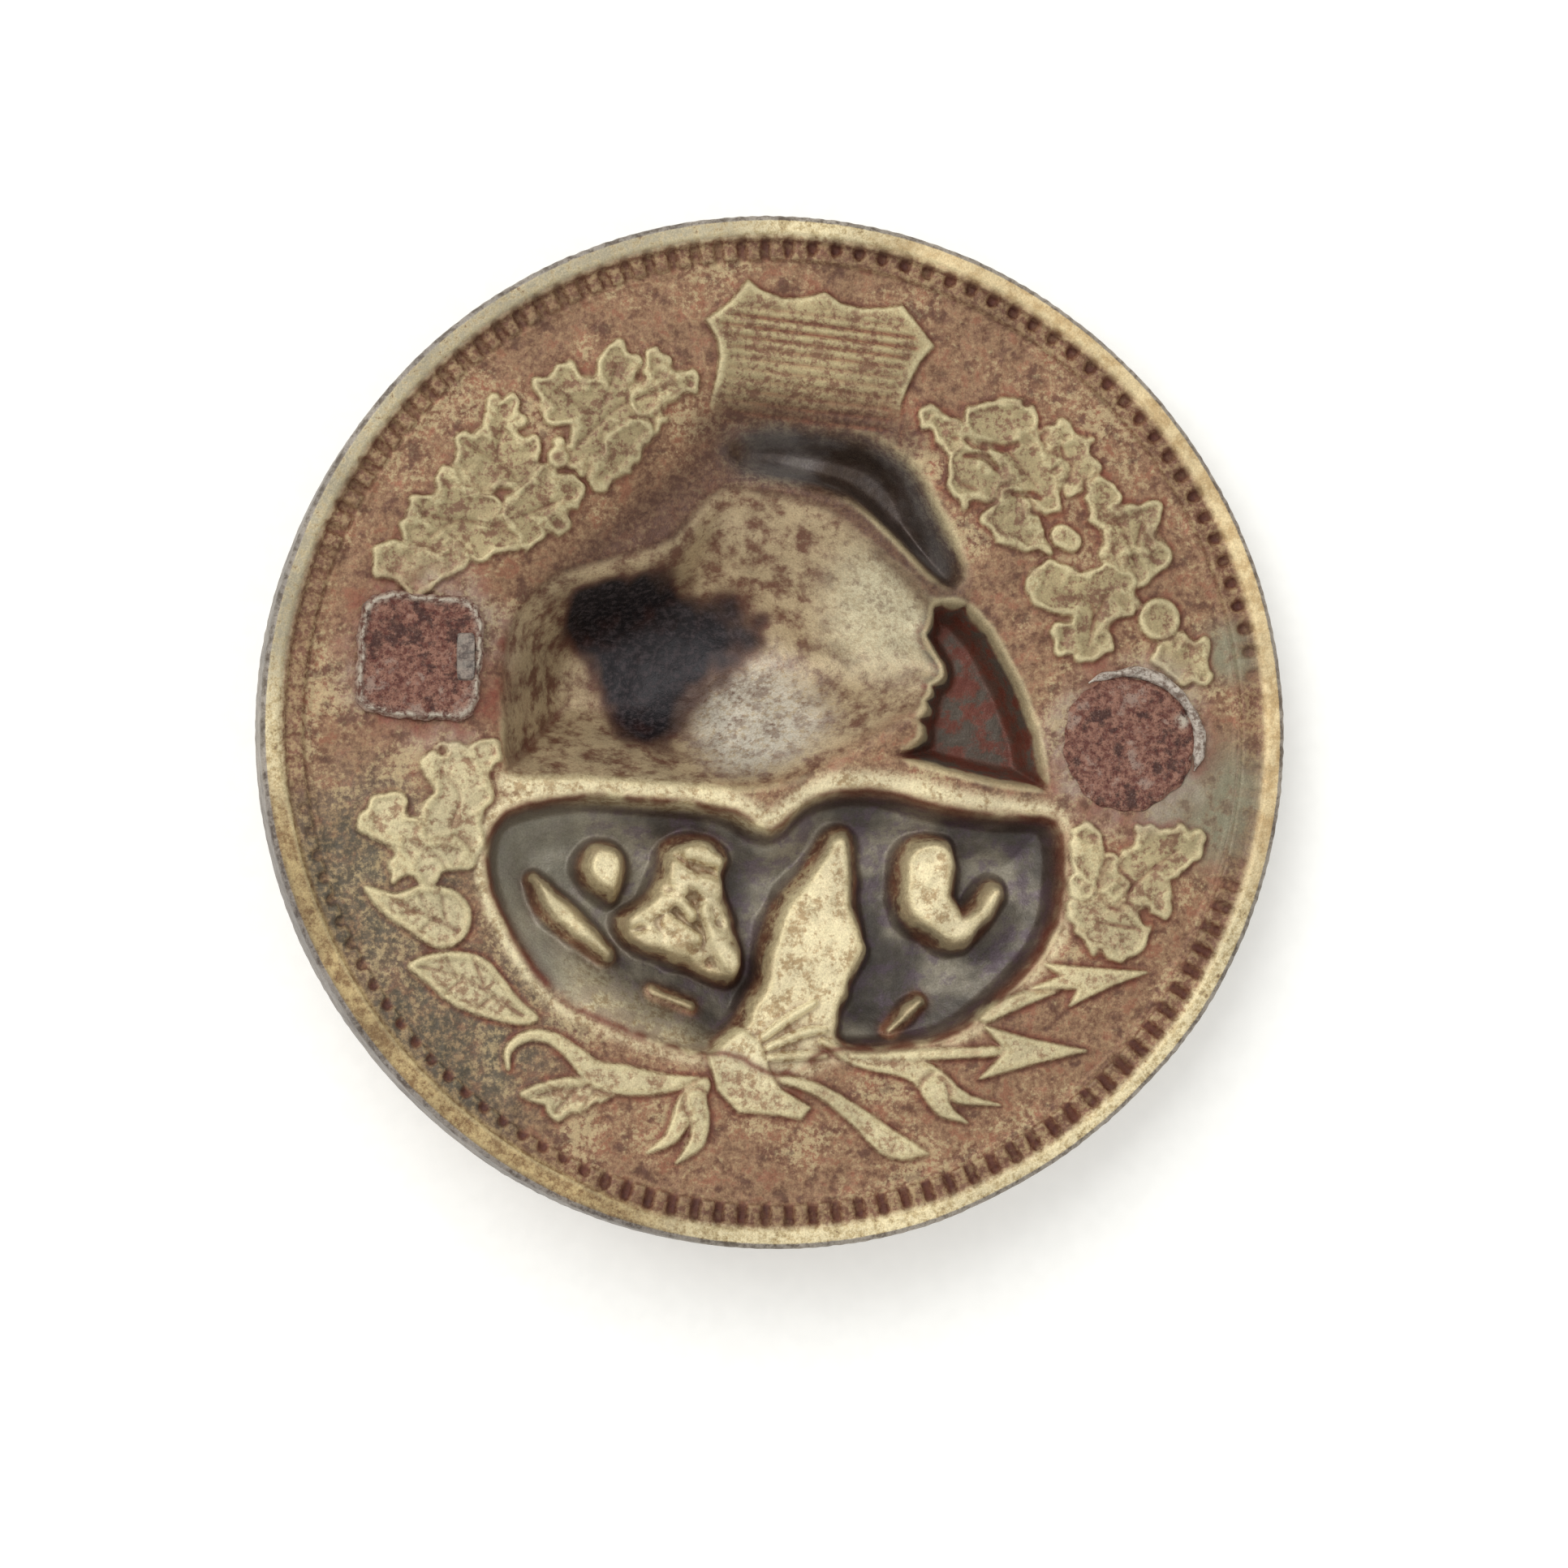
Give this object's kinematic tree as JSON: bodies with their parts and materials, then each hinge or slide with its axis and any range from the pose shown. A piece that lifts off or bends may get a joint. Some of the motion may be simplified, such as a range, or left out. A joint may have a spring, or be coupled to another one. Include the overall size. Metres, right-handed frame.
{
  "type": "cap badge",
  "caption": "Round struck bronze cap badge, back up, with a bust pressed out to the front and two solder pads left by a lost pin.",
  "frame": {"origin": "on the disc's axis, level with the crown of the pressed bust, which is the lowest point", "axes": "+Z leaves the struck back and is square to the disc, +Y points to the shield at the top of the back, +X to the right of a person who looks at the back"},
  "size_m": [0.019, 0.019, 0.0033],
  "materials": {
    "worn_bronze": "struck bronze, worn bright on the high points, with red lacquer left in the recesses",
    "soft_solder": "rough soft solder, grey at the edges and stained dark red",
    "foot_brass": "dull grey brass, broken off"
  },
  "bodies": {
    "root": {"struck_disc": "worn_bronze", "left_solder_pad": "soft_solder", "left_foot_stub": "foot_brass", "right_solder_pad": "soft_solder", "right_solder_collar": "soft_solder"}
  },
  "joints": []
}
